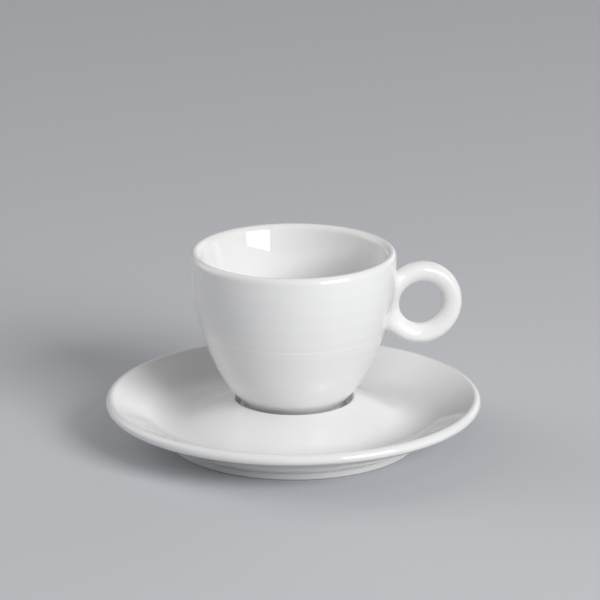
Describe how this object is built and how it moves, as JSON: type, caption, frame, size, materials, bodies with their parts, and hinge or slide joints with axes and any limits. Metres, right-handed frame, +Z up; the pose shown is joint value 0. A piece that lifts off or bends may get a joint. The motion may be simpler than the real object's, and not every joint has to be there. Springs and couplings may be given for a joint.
{
  "type": "espresso cup with saucer",
  "caption": "White glazed porcelain espresso cup with a round ring handle, standing in the raised well of a wide, rolled-lip saucer.",
  "frame": {"origin": "centre of the saucer's foot ring, on the surface that it stands on", "axes": "+Z up along the axis of the cup and saucer, +X towards the cup's handle"},
  "size_m": [0.12, 0.12, 0.0629],
  "materials": {
    "porcelain": "clear gloss glaze over white porcelain"
  },
  "bodies": {
    "saucer": {"saucer": "porcelain"},
    "cup": {"cup_body": "porcelain", "cup_handle": "porcelain"}
  },
  "joints": [
    {"name": "cup_lift", "type": "slide", "parent": "saucer", "child": "cup", "axis": [0, 0, 1], "range_m": [0, 0.08]}
  ]
}
